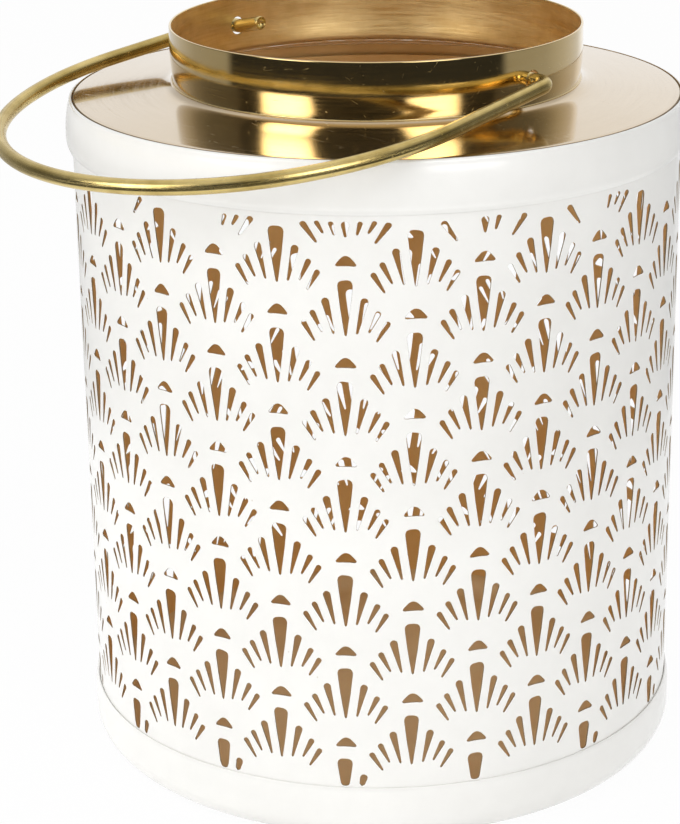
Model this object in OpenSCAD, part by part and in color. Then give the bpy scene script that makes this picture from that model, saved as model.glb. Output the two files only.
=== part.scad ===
// Hurricane candle holder: a pierced sheet lantern on a base pan, with a neck collar and a swinging bail.
// Millimetres, +Z up. The origin is the middle of the underside, and the bail rests towards -Y.

/* [Base pan] */
// Height of the pan's skirt above the table
pan_h = 18.7; // [12:0.1:30]
// Sheet thickness of the pan with its enamel
pan_t = 1.2; // [0.6:0.1:2]
// Radius of the pan's rounded lower edge
pan_corner_r = 8; // [4:0.5:10]

/* [Pierced wall] */
// Outer radius of the wall, over its facet corners
wall_r = 95; // [85:1:110]
// Sheet thickness of the wall
wall_t = 0.8; // [0.5:0.1:1.5]
// Height of the wall that shows between the pan and the shoulder ring
wall_h = 178.6; // [120:0.1:220]
// Length of the wall that is hidden inside the shoulder ring
wall_lap = 7.1; // [4:0.1:10]
// Number of fan columns round the wall, an even number
columns = 30; // [20:2:36]
// Distance between two fans of one column
row_pitch = 30.05; // [24:0.05:40]
// Distance from the pan's skirt up to the top of the lowest whole fan
first_fan = 24.5; // [22:0.1:40]
// Turn of the first column from the middle of the bail's resting side, in degrees
pattern_turn = 1.6; // [0:0.1:12]
// Lean of the fan columns, in degrees
pattern_lean = 0.7; // [-2:0.1:2]
// Plain strip between the pan's skirt and the lowest holes
low_strip = 0.4; // [0.4:0.1:3]
// Plain strip between the highest holes and the shoulder ring
high_strip = 1.8; // [0.4:0.1:4]
// Shortest piece of a petal that is still cut at the edges of the pattern
least_cut = 2.4; // [1:0.1:4]

/* [Shoulder ring] */
// Height of the ring from its lower edge to its lip
ring_h = 15.6; // [12:0.1:25]
// Sheet thickness of the ring with its enamel
ring_t = 0.9; // [0.6:0.1:1.5]
// How far the ring swells beyond a straight side
ring_bulge = 0.9; // [0.3:0.1:2]
// How much wider the ring is at its lip than at its lower edge
ring_spread = 0.2; // [0:0.1:0.6]
// Radius of the rounded lip
ring_lip_r = 1.4; // [1.2:0.1:2]

/* [Top plate] */
// Sheet thickness of the plate
plate_t = 0.8; // [0.5:0.1:1.2]
// Height that the plate climbs from its edge to the collar
plate_rise = 3.6; // [1:0.1:8]
// Depth of the flange that is turned down inside the ring
plate_flange = 4.8; // [2:0.1:6]
// Radius of the plate's outer edge
plate_edge_r = 0.6; // [0.3:0.1:1]
// Flat margin of the plate outside the collar's foot
plate_margin = 0.4; // [0.2:0.1:3]

/* [Neck collar] */
// Outer radius of the collar
collar_r = 64; // [50:0.5:68]
// Sheet thickness of the collar
collar_t = 0.8; // [0.5:0.1:1.5]
// Height of the collar
collar_h = 17.4; // [14:0.1:30]
// Diameter of the two holes that hold the bail
pivot_hole_d = 5.6; // [5.2:0.1:7]
// Height of those holes above the collar's foot
pivot_h = 7.7; // [7:0.1:10]

/* [Bail handle] */
// Diameter of the rod
rod_d = 4.5; // [3:0.1:5]
// Length of each rod end inside the collar's outer surface
rod_tail = 12; // [6:0.5:20]
// Distance from the collar's outer surface to the leg's centre line, at the pivot
leg_gap = 6.7; // [6:0.1:12]
// Centre line radius of the bend at each pivot
bend_r = 4.5; // [3:0.1:5]
// Outward lean of each leg, in degrees
leg_flare = 4; // [0:0.5:8]
// Length of each straight leg, from the pivot axis
leg_l = 44; // [30:0.5:80]
// Centre line radius of the side arcs
side_r = 87; // [70:1:110]
// Turn of each side arc, in degrees
side_turn = 33.6; // [20:0.1:45]
// Gap between the resting bail and the shoulder
rest_gap = 1.8; // [0.5:0.1:3]

/* [Hidden] */
$fn = 120;
// Gap between two sheets that are pressed one inside the other
seat_gap = 0.05;
// Overrun of a cut past the sheet that it goes through
over = 1;
// Steps of a curved stretch in the turned outlines
steps = 12;
enamel = [0.97, 0.96, 0.93];
brass = [0.78, 0.64, 0.32];

// Heights of the seams above the table
ring_z = pan_h + wall_h;
lip_z = ring_z + ring_h;
collar_z = lip_z + plate_rise;
pivot_z = collar_z + pivot_h;

// The seat radius is the inside of the pan's skirt and of the ring's lower edge
seat_r = wall_r + seat_gap;
lip_r = seat_r + ring_t + ring_spread - ring_lip_r;
plate_r = lip_r - seat_gap;

// One fan fills a column's width and a row's height. Each petal is a wedge: its top's place across
// and down, its tip's place across and down, and the width of its top. Places across and widths are
// shares of the column's width, and places down are shares of the row's height.
facets = 2 * columns;
column_w = 2 * PI * wall_r / columns;
side_petal_shares = [
    [0.28, 0.17, 0.145, 0.56, 0.12],
    [0.47, 0.29, 0.315, 0.55, 0.095],
    [0.61, 0.39, 0.42, 0.65, 0.095]
];
// The middle petal: its tip's place down, its widths at the crown and the shoulders, and the shoulders' place
mid_tip_share = 0.572;
mid_crown_share = 0.14;
mid_shoulder_share = 0.225;
mid_shoulder_down_share = 0.05;
// The seed hole under each fan: the places down of its top and base, and their widths
seed_top_share = 0.755;
seed_base_share = 0.855;
seed_top_width_share = 0.09;
seed_base_width_share = 0.315;
fan_spread_share = 0.7;

// Petals that the enamel closed in the row cut short by the ring, and in the row cut short by the pan: a
// column's number, then its closed petals, numbered from -3 on the left over 0 in the middle to 3
closed_high = [[1, [-3, -2, -1, 0]], [5, [-2, -1, 2]], [7, [-2, -1, 0]], [29, [-3, -2, -1, 0, 1, 2]]];
closed_low = [[5, [1]]];

// The band of the wall that the holes keep to
band_low = pan_h + low_strip;
band_high = ring_z - high_strip;
first_top = pan_h + first_fan;
half_rows = ceil((band_high + row_pitch - first_top) * 2 / row_pitch);

// The bail's centre line, from the pivot axis outward, drawn flat
leg_x = collar_r + leg_gap;
bend_cut = bend_r * tan((90 - leg_flare) / 2);
bend_x = leg_x - bend_cut;
leg_dir = [sin(leg_flare), cos(leg_flare)];
leg_normal = [-cos(leg_flare), sin(leg_flare)];
leg_start = [leg_x, 0] + bend_cut * leg_dir;
leg_end = [leg_x, 0] + leg_l * leg_dir;
side_c = leg_end + side_r * leg_normal;
crown_from = side_turn - leg_flare;
side_end = side_c + side_r * [cos(crown_from), sin(crown_from)];
crown_r = side_end[0] / cos(crown_from);
crown_c = [0, side_end[1] - crown_r * sin(crown_from)];
rod_break_share = 0.045;
bead_share = 0.5125;
rod_break = rod_break_share * rod_d;
bead_r = bead_share * rod_d;

// The bail tilts down until it is a small gap above the lip, where its side passes over it
side_x = side_c[0] + side_r;
pass_r = lip_r + ring_lip_r / 2;
pass_depth = sqrt(pass_r * pass_r - side_x * side_x);
bail_tilt = asin((pivot_z - lip_z - rod_d / 2 - rest_gap) / pass_depth);

function arc(c, r, from, to) = [for (i = [0:steps]) c + r * [cos(from + (to - from) * i / steps),
                                                             sin(from + (to - from) * i / steps)]];

// A straight tray section with a rounded lower corner
module tray_section(r, h, corner_r) {
    square([r - corner_r, h]);
    translate([0, corner_r]) square([r, h - corner_r]);
    translate([r - corner_r, corner_r]) circle(corner_r);
}

module base_pan() {
    color(enamel)
    rotate_extrude() difference() {
        tray_section(seat_r + pan_t, pan_h, pan_corner_r);
        translate([0, pan_t]) tray_section(seat_r, pan_h, pan_corner_r - pan_t);
    }
}

// A hole in the sheet, from a flat outline in the column's own plane
module cut_sheet(outline) {
    inner = wall_r * cos(fan_spread_share * 360 / columns) - wall_t - over;
    translate([0, -inner, 0]) rotate([90, 0, 0]) linear_extrude(wall_r + over - inner) polygon(outline);
}

// A place on the petal's centre line at height z, and the petal's width there
function petal_at(top, tip, z) = top + (tip - top) * (top[1] - z) / (top[1] - tip[1]);
function width_at(top, tip, w, z) = w * (z - tip[1]) / (top[1] - tip[1]);

// One side petal, shortened to the band of the wall that the holes keep to
module side_petal(shares, top_z, side) {
    top = [side * shares[0] * column_w, top_z - shares[1] * row_pitch];
    tip = [side * shares[2] * column_w, top_z - shares[3] * row_pitch];
    w = shares[4] * column_w;
    upper = min(top[1], band_high);
    lower = max(tip[1], band_low);
    across = [tip[1] - top[1], top[0] - tip[0]] / norm(tip - top) / 2;
    a = petal_at(top, tip, upper);
    b = petal_at(top, tip, lower);
    wa = width_at(top, tip, w, upper) * across;
    wb = width_at(top, tip, w, lower) * across;
    if (upper - lower > least_cut) {
        if (lower > tip[1]) cut_sheet([a + wa, b + wb, b - wb, a - wa]);
        else cut_sheet([a + wa, tip, a - wa]);
    }
}

module mid_petal(top_z) {
    tip_z = top_z - mid_tip_share * row_pitch;
    shoulder_z = top_z - mid_shoulder_down_share * row_pitch;
    upper = min(shoulder_z, band_high);
    lower = max(tip_z, band_low);
    crown = mid_crown_share * column_w / 2;
    shoulder = mid_shoulder_share * column_w / 2;
    wa = shoulder * (upper - tip_z) / (shoulder_z - tip_z);
    wb = shoulder * (lower - tip_z) / (shoulder_z - tip_z);
    if (upper - lower > least_cut) {
        dome = top_z > band_high ? [[wa, upper], [-wa, upper]]
            : [[wa, upper], [crown, top_z], [-crown, top_z], [-wa, upper]];
        foot = lower > tip_z ? [[-wb, lower], [wb, lower]] : [[0, tip_z]];
        cut_sheet(concat(dome, foot));
    }
}

module seed_hole(top_z) {
    upper = top_z - seed_top_share * row_pitch;
    lower = top_z - seed_base_share * row_pitch;
    wu = seed_top_width_share * column_w / 2;
    wl = seed_base_width_share * column_w / 2;
    if (upper < band_high && lower > band_low)
        cut_sheet([[-wu, upper], [-wl, lower], [wl, lower], [wu, upper]]);
}

function listed(table, column, petal) = len([for (row = table) if (row[0] == column) for (p = row[1])
                                                 if (p == petal) p]) > 0;

// Is this petal cut? The row that the pan cuts short has none to the left of its middle petals.
function is_cut(column, petal, top_z) =
    top_z > band_high ? !listed(closed_high, column, petal)
    : top_z < first_top ? petal >= 0 && !listed(closed_low, column, petal)
    : true;

// A whole fan, or what of it lies in the band
module fan(column, top_z) {
    seed_hole(top_z);
    if (is_cut(column, 0, top_z)) mid_petal(top_z);
    for (n = [1:len(side_petal_shares)])
        for (side = [-1, 1])
            if (is_cut(column, side * n, top_z)) side_petal(side_petal_shares[n - 1], top_z, side);
}

// The leaning columns turn a little with height
function lean_turn(z) = tan(pattern_lean) * (z - first_top) / wall_r * 180 / PI;

// Corners of the many-sided sheet. Each column, and each gap between two columns, lies on a flat.
function ring_points(r) = [for (i = [0.5:facets]) r * [sin(i * 360 / facets), -cos(i * 360 / facets)]];

// The odd columns lie half a row lower, so the pan and the ring cut their end fans short
module pierced_wall() {
    color(enamel)
    rotate([0, 0, pattern_turn]) difference() {
        translate([0, 0, pan_corner_r]) linear_extrude(ring_z + wall_lap - pan_corner_r) difference() {
            polygon(ring_points(wall_r));
            polygon(ring_points(wall_r - wall_t));
        }
        for (i = [0:columns - 1]) rotate([0, 0, i * 360 / columns])
            for (k = [-(i % 2):2:half_rows]) {
                top_z = first_top + k * row_pitch / 2;
                rotate([0, 0, lean_turn(top_z)]) fan(i, top_z);
            }
    }
}

// Outer radius of the ring at a share of its height, swelling fastest near its lower edge
function ring_r(u) = seat_r + ring_t + ring_spread * u + ring_bulge * sin(180 * pow(u, bulge_share));
bulge_share = 0.6;

module shoulder_ring() {
    side_h = ring_h - ring_lip_r;
    outside = [for (i = [0:steps]) [ring_r(i / steps), ring_z + side_h * i / steps]];
    inside = [for (i = [steps:-1:0]) [ring_r(i / steps) - ring_t, ring_z + side_h * i / steps]];
    lip_c = [lip_r, lip_z - ring_lip_r];
    lip = concat(arc(lip_c, ring_lip_r, 0, 90), arc(lip_c, ring_lip_r - ring_t, 90, 0));
    color(enamel)
    rotate_extrude() polygon(concat(outside, lip, inside));
}

module top_plate() {
    hole_r = collar_r - collar_t;
    foot_r = collar_r + plate_margin;
    slope = atan(plate_rise / (plate_r - foot_r));
    edge_c = [plate_r - plate_edge_r, lip_z - plate_edge_r];
    flange_z = lip_z - plate_flange;
    color(brass)
    rotate_extrude()
        polygon(concat(
            [[plate_r, flange_z]],
            arc(edge_c, plate_edge_r, 0, 90 - slope),
            [[foot_r, collar_z], [hole_r, collar_z]],
            [[hole_r, collar_z - plate_t], [foot_r, collar_z - plate_t]],
            [[plate_r - plate_t, lip_z - plate_t], [plate_r - plate_t, flange_z]]
        ));
}

module neck_collar() {
    color(brass)
    difference() {
        translate([0, 0, collar_z]) cylinder(h = collar_h, r = collar_r);
        translate([0, 0, collar_z - over]) cylinder(h = collar_h + 2 * over, r = collar_r - collar_t);
        translate([-collar_r - over, 0, pivot_z]) rotate([0, 90, 0])
            cylinder(h = 2 * (collar_r + over), d = pivot_hole_d);
    }
}

// The rod's stretches stop a little short of each other, and a bead hardly thicker than the rod joins them,
// with its poles along the rod
module rod_joint(at, turn) {
    translate([at[0], at[1], 0]) rotate([-90, 0, turn]) sphere(r = bead_r);
}

// A straight stretch along +Z
module rod_straight(length) {
    translate([0, 0, rod_break]) cylinder(h = length - 2 * rod_break, d = rod_d);
}

// A bent stretch round the origin, from the +X side
module rod_arc(r, turn) {
    break_turn = rod_break / r * 180 / PI;
    rotate([0, 0, break_turn]) rotate_extrude(angle = turn - 2 * break_turn)
        translate([r, 0]) circle(d = rod_d);
}

module half_bail() {
    tail_x = collar_r - rod_tail;
    translate([tail_x, 0, 0]) rotate([0, 90, 0]) cylinder(h = bend_x - tail_x - rod_break, d = rod_d);
    translate([bend_x, bend_r, 0]) rotate([0, 0, -90]) rod_arc(bend_r, 90 - leg_flare);
    translate([leg_start[0], leg_start[1], 0]) rotate([-90, 0, -leg_flare]) rod_straight(leg_l - bend_cut);
    translate([side_c[0], side_c[1], 0]) rotate([0, 0, -leg_flare]) rod_arc(side_r, side_turn);
    rod_joint([bend_x, 0], -90);
    rod_joint(leg_start, -leg_flare);
    rod_joint(leg_end, -leg_flare);
    rod_joint(side_end, crown_from);
}

module bail_handle() {
    color(brass)
    translate([0, 0, pivot_z]) rotate([180 + bail_tilt, 0, 0]) {
        half_bail();
        mirror([1, 0, 0]) half_bail();
        translate([0, crown_c[1], 0]) rotate([0, 0, crown_from]) rod_arc(crown_r, 180 - 2 * crown_from);
    }
}

base_pan();
pierced_wall();
shoulder_ring();
top_plate();
neck_collar();
bail_handle();
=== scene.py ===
"""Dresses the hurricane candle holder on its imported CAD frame.

Each of the holder's six pieces is a class: its sizes are the dataclass fields, its methods build the mesh
and give it its finishes. Lengths are metres in the frame of the CAD model. The origin is the middle of the
underside, +Z is up, and an azimuth of 0 looks along -Y and grows towards +X.
"""

import logging
import math
import random
from collections.abc import Iterable, Sequence
from dataclasses import dataclass, field
from enum import Enum
from functools import reduce
from typing import ClassVar

import bpy
import numpy as np
from mathutils import Matrix, Quaternion, Vector, kdtree, noise
from mathutils.geometry import delaunay_2d_cdt


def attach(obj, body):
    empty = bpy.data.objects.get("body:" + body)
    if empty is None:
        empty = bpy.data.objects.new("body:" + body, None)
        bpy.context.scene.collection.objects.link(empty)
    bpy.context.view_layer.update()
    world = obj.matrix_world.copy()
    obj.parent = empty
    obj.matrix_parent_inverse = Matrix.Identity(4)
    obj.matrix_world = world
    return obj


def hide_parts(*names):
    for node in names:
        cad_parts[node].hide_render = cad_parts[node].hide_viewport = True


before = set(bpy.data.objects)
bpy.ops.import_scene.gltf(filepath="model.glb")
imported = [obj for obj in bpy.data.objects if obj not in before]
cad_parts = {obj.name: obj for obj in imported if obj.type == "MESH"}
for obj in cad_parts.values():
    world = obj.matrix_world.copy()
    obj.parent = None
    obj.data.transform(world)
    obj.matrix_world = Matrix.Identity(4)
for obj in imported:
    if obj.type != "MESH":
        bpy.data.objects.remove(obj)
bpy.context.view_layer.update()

log = logging.getLogger("candle_holder")

Colour = tuple[float, float, float, float]
Place = tuple[float, float]
Outline = list[Place]
Spot = tuple[float, float, float]

WHITE: Colour = (1.0, 1.0, 1.0, 1.0)
ROD_MAP = "rod_map"
# Points that lie nearer than this are one
SAME = 1e-6
MM = 1e3


class Part(Enum):
    """The holder's parts: the CAD node, the body that it rides on and the record's material slot."""

    PAN = ("base_pan", "holder", "pan_enamel")
    WALL = ("pierced_wall", "holder", "wall_enamel")
    RING = ("shoulder_ring", "holder", "ring_enamel")
    PLATE = ("top_plate", "holder", "plate_brass")
    COLLAR = ("neck_collar", "holder", "collar_brass")
    BAIL = ("bail_handle", "bail", "bail_brass")


@dataclass(frozen=True)
class Heights:
    """Heights of the seams above the table, as in the CAD source."""

    skirt_top: float = 0.0187
    ring_foot: float = 0.1973
    lip: float = 0.2129
    collar_foot: float = 0.2165
    pivot: float = 0.2242
    rim: float = 0.2339


HEIGHTS = Heights()


# ---------------------------------------------------------------------------------------------------------
# Meshes


def on_circle(radius: float, azimuth: float, z: float) -> Vector:
    """A point at a radius, an azimuth in radians and a height."""
    return Vector((radius * math.sin(azimuth), -radius * math.cos(azimuth), z))


def once_round(count: int) -> list[float]:
    """Even turns in radians, from 0 once round."""
    return [2 * math.pi * i / count for i in range(count)]


class Skin:
    """A mesh that is being put together: its points, their normals, its faces and each face's finish."""

    def __init__(self) -> None:
        """Starts with nothing in it."""
        self.points: list[Vector] = []
        self.normals: list[Vector] = []
        self.faces: list[tuple[int, ...]] = []
        self.finishes: list[int] = []

    def point(self, place: Vector, normal: Vector = Vector((0.0, 0.0, 0.0))) -> int:
        """Adds a point.

        Args:
            place: Its place.
            normal: Its normal, where own normals shade the piece.

        Returns:
            Its number.
        """
        self.points.append(place)
        self.normals.append(normal)
        return len(self.points) - 1

    def face(self, corners: Iterable[int], finish: int = 0) -> None:
        """Adds a face, unless fewer than three of its corners differ.

        Args:
            corners: The numbers of its points.
            finish: The number of its finish.
        """
        different = tuple(dict.fromkeys(corners))
        if len(different) > 2:
            self.faces.append(different)
            self.finishes.append(finish)

    def band(self, lower: Sequence[int], upper: Sequence[int], finish: int = 0, closed: bool = True) -> None:
        """Joins two rows of points of the same length by four-sided faces.

        Args:
            lower: The row that the faces' first edge follows.
            upper: The other row.
            finish: The number of the faces' finish.
            closed: Whether the last point of each row is followed by its first one.
        """
        for i in range(len(lower) if closed else len(lower) - 1):
            j = (i + 1) % len(lower)
            self.face((lower[i], lower[j], upper[j], upper[i]), finish)

    def weld(self) -> None:
        """Makes one point of the points that lie in the same place."""
        tree = kdtree.KDTree(len(self.points))
        for i, place in enumerate(self.points):
            tree.insert(place, i)
        tree.balance()
        kept: list[int] = []
        number: list[int] = []
        for i, place in enumerate(self.points):
            first = min(found[1] for found in tree.find_range(place, SAME))
            if first == i:
                kept.append(i)
            number.append(number[first] if first < i else len(kept) - 1)
        faces = list(zip(self.faces, self.finishes))
        self.points, self.normals = [self.points[i] for i in kept], [self.normals[i] for i in kept]
        self.faces, self.finishes = [], []
        for corners, finish in faces:
            self.face((number[c] for c in corners), finish)

    def made(self, name: str, materials: Sequence[bpy.types.Material], own_normals: bool = False,
             crease: float = 38.0) -> bpy.types.Object:
        """Turns the skin into an object in the scene.

        Args:
            name: The object's name.
            materials: The finishes, in the order of their numbers.
            own_normals: Whether the points' own normals shade it.
            crease: The angle in degrees above which an edge stays sharp, where they don't.

        Returns:
            The new object.
        """
        mesh = bpy.data.meshes.new(name)
        mesh.from_pydata([tuple(p) for p in self.points], [], self.faces)
        mesh.polygons.foreach_set("material_index", np.array(self.finishes, np.int32))
        mesh.polygons.foreach_set("use_smooth", np.ones(len(self.faces), bool))
        for material in materials:
            mesh.materials.append(material)
        mesh.validate(clean_customdata=False)
        mesh.update()
        if own_normals:
            mesh.normals_split_custom_set_from_vertices([tuple(n.normalized()) for n in self.normals])
        else:
            mesh.set_sharp_from_angle(angle=math.radians(crease))
        piece = bpy.data.objects.new(name, mesh)
        bpy.context.scene.collection.objects.link(piece)
        return piece


@dataclass
class Section:
    """A closed section of a turned piece, walked in the (radius, height) plane with the metal on its left."""

    places: Outline
    finishes: list[int] = field(default_factory=lambda: [0])
    step: float = 0.0025
    # How many waves a metre the sheet wavers in
    waves: float = 38.0

    def along(self, *places: Place, finish: int = 0) -> None:
        """Goes straight from place to place, in steps.

        Args:
            places: The places to go to, each a radius and a height.
            finish: The number of the finish.
        """
        for r, z in places:
            r0, z0 = self.places[-1]
            count = max(1, math.ceil(math.hypot(r - r0, z - z0) / self.step))
            for i in range(1, count + 1):
                self.places.append((r0 + (r - r0) * i / count, z0 + (z - z0) * i / count))
                self.finishes.append(finish)

    def arc(self, r: float, z: float, radius: float, start: float, end: float, steps: int,
            finish: int = 0) -> None:
        """Goes round an arc.

        Args:
            r: The centre's radius.
            z: The centre's height.
            radius: The arc's own radius.
            start: The angle in degrees where it starts, from the outward direction towards the upward one.
            end: The angle in degrees where it ends.
            steps: The number of steps.
            finish: The number of the finish.
        """
        for i in range(steps + 1):
            a = math.radians(start + (end - start) * i / steps)
            place = (r + radius * math.cos(a), z + radius * math.sin(a))
            if math.dist(place, self.places[-1]) > SAME / 10:
                self.places.append(place)
                self.finishes.append(finish)

    def turned(self, around: int, waver: float, seed: float) -> Skin:
        """Turns the section about the upright axis.

        Args:
            around: The number of steps round the axis.
            waver: How far the sheet wavers inwards from a true turned form.
            seed: A number that picks the waver.

        Returns:
            The turned skin.
        """
        skin = Skin()
        rows: list[list[int]] = []
        for r, z in self.places:
            if r < SAME:
                rows.append([skin.point(Vector((0.0, 0.0, z)))] * around)
                continue
            rows.append([])
            for azimuth in once_round(around):
                way = on_circle(r, azimuth, z) * self.waves + Vector((seed, 0.0, 0.0))
                shift = 0.5 * waver * (noise.noise(way) - 1.0)
                rows[-1].append(skin.point(on_circle(r + shift, azimuth, max(0.0, z + shift))))
        for i, lower in enumerate(rows):
            j = (i + 1) % len(rows)
            skin.band(lower, rows[j], self.finishes[j])
        return skin


@dataclass
class RolledSheet:
    """A sheet with holes that is rolled into a tube, with softly rounded edges.

    The holes are drawn on the unrolled sheet, across by arc length in metres and up by height, each with its
    outline turning to the left. A seam that runs clear of the holes closes the tube. Finish 0 is the outer
    side, 1 the inner side, and cut the number of the edges' finish. The edges turn by edge_turns, each the
    side, 0 or 1, and the angle in degrees.
    """

    radius: float
    thickness: float
    low: float
    high: float
    edge: float
    cut: int = 0
    edge_turns: tuple[tuple[int, float], ...] = ((0, 45.0), (0, 90.0), (1, 90.0), (1, 45.0))

    def swell(self, z: float) -> float:
        """How far the sheet stands out from its radius at a height."""
        return 0.0

    def seam(self) -> Outline:
        """The seam's places from the lower edge to the upper one."""
        steps = max(2, round((self.high - self.low) / 0.004))
        return [(0.0, self.low + (self.high - self.low) * i / steps) for i in range(steps + 1)]

    def surface(self, u: float, z: float, depth: float) -> Vector:
        """The point of the rolled sheet at a place, some depth under its outer side."""
        return on_circle(self.radius + self.swell(z) - depth, u / self.radius, z)

    def outward(self, u: float, z: float) -> Vector:
        """The outer side's normal at a place."""
        slope = (self.swell(z + 1e-4) - self.swell(z - 1e-4)) / 2e-4
        return on_circle(1.0, u / self.radius, -slope).normalized()

    def inset(self, loop: Outline, closed: bool) -> Outline:
        """The directions into the metal along an edge.

        Args:
            loop: The edge's places, with the metal on its right.
            closed: Whether it closes.

        Returns:
            The direction at each place.
        """
        ends = (loop[-1], loop[0]) if closed else tuple(
            (2 * a[0] - b[0], 2 * a[1] - b[1]) for a, b in ((loop[0], loop[1]), (loop[-1], loop[-2])))
        path = [ends[0], *loop, ends[1]]
        out = []
        for trio in zip(path, path[1:], path[2:]):
            turn = Vector((0.0, 0.0))
            for a, b in zip(trio, trio[1:]):
                turn += Vector((b[1] - a[1], a[0] - b[0])).normalized()
            out.append(tuple(turn.normalized()))
        return out

    def edge_point(self, place: Place, way: Place, side: int, turn: float) -> tuple[Vector, Vector]:
        """A point of a rounded edge.

        Args:
            place: The edge's place on the unrolled sheet.
            way: The direction into the metal there.
            side: 0 on the outer side, 1 on the inner one.
            turn: How far the edge has turned from that side, in radians.

        Returns:
            The point and its normal.
        """
        s, c = math.sin(turn), math.cos(turn)
        u, z = (p + w * self.edge * (1.0 - s) for p, w in zip(place, way))
        depth = self.edge * (1.0 - c)
        across = Vector((math.cos(u / self.radius), math.sin(u / self.radius), 0.0))
        open_side, out = Vector((0.0, 0.0, -way[1])) - way[0] * across, self.outward(u, z)
        normal = open_side * s + out * (-c if side else c)
        return self.surface(u, z, self.thickness - depth if side else depth), normal

    def rolled(self, holes: list[Outline], spacing: float) -> Skin:
        """Cuts the holes and rolls the sheet.

        Args:
            holes: The holes' outlines.
            spacing: The distance between the points in the sheet's plain parts.

        Returns:
            The skin of the rolled sheet, with its own normals.
        """
        trip = 2.0 * math.pi * self.radius
        seam, steps = self.seam(), round(trip / spacing)
        top = [(seam[-1][0] + trip * i / steps, self.high) for i in range(steps + 1)]
        bottom = [(seam[0][0] + trip * (steps - i) / steps, self.low) for i in range(steps + 1)]
        loops = [(hole, True) for hole in holes] + [(top, False), (bottom, False)]
        insets = [self.inset(loop, closed) for loop, closed in loops]
        flat: list[Vector] = []

        def laid(places: Iterable[Place]) -> range:
            """Lays places on the flat sheet, in millimetres.

            Args:
                places: The places in metres.

            Returns:
                Their numbers.
            """
            start = len(flat)
            flat.extend(Vector((u * MM, z * MM)) for u, z in places)
            return range(start, len(flat))

        numbers = [laid((u + du * self.edge, z + dz * self.edge) for (u, z), (du, dz) in zip(loop, ways))
                   for (loop, _), ways in zip(loops, insets)]
        between = [(u, z) for u, z in seam if self.low + 2 * self.edge < z < self.high - 2 * self.edge]
        left = laid(between)
        right = laid((u + trip, z) for u, z in between)
        faces = [[*numbers[-2][::-1], *left[::-1], *numbers[-1][::-1], *right], *map(list, numbers[:-2])]
        tree = kdtree.KDTree(len(flat))
        for i, place in enumerate(flat):
            tree.insert((*place, 0.0), i)
        tree.balance()
        rows = round((self.high - self.low) / spacing)
        for j in range(1, rows):
            z = self.low + (self.high - self.low) * j / rows
            shift = np.interp(z, [p[1] for p in seam], [p[0] for p in seam])
            for i in range(1, steps):
                place = ((shift + trip * (i + 0.5 * (j % 2) - 0.25) / steps) * MM, z * MM, 0.0)
                if tree.find(place)[2] > 0.35 * spacing * MM:
                    flat.append(Vector(place[:2]))
        verts, _, tris, from_verts, _, from_faces = delaunay_2d_cdt(flat, [], faces, 0, 1e-5)
        now_at = {old: new for new, olds in enumerate(from_verts) for old in olds}
        skin = Skin()
        sides = [[skin.point(self.surface(v.x * 1e-3, v.y * 1e-3, depth),
                             self.outward(v.x * 1e-3, v.y * 1e-3) * way) for v in verts]
                 for depth, way in ((0.0, 1.0), (self.thickness, -1.0))]
        for corners, sources in zip(tris, from_faces):
            # The sheet itself is face 0; what lies in a hole's face too is cut away
            if sources == [0]:
                skin.face((sides[0][c] for c in corners), 0)
                skin.face((sides[1][c] for c in reversed(corners)), 1)
        for (loop, closed), ids, ways in zip(loops, numbers, insets):
            turned = [[skin.point(*self.edge_point(place, way, side, math.radians(turn)))
                       for place, way in zip(loop, ways)] for side, turn in self.edge_turns]
            edge_rows = [[sides[0][now_at[i]] for i in ids], *turned, [sides[1][now_at[i]] for i in ids]]
            finishes = [0, *[self.cut] * (len(turned) - 1), 1]
            for a, b, finish in zip(edge_rows, edge_rows[1:], finishes):
                skin.band(a, b, finish, closed)
        skin.weld()
        return skin


# ---------------------------------------------------------------------------------------------------------
# Effects that several finishes share


class Flow:
    """A value in a node tree. Arithmetic with it adds Math nodes to the tree."""

    def __init__(self, desk: "NodeDesk", socket: bpy.types.NodeSocket) -> None:
        """Takes a node's output."""
        self.desk, self.socket = desk, socket

    def __add__(self, other: object) -> "Flow":
        """The sum with another value."""
        return self.desk.math("ADD", self, other)

    def __sub__(self, other: object) -> "Flow":
        """The difference from another value."""
        return self.desk.math("SUBTRACT", self, other)

    def __rsub__(self, other: object) -> "Flow":
        """Another value less this one."""
        return self.desk.math("SUBTRACT", other, self)

    def __mul__(self, other: object) -> "Flow":
        """The product with another value."""
        return self.desk.math("MULTIPLY", self, other)

    def __truediv__(self, other: object) -> "Flow":
        """The share of another value."""
        return self.desk.math("DIVIDE", self, other)

    def __rtruediv__(self, other: object) -> "Flow":
        """Another value divided by this one."""
        return self.desk.math("DIVIDE", other, self)


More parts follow.
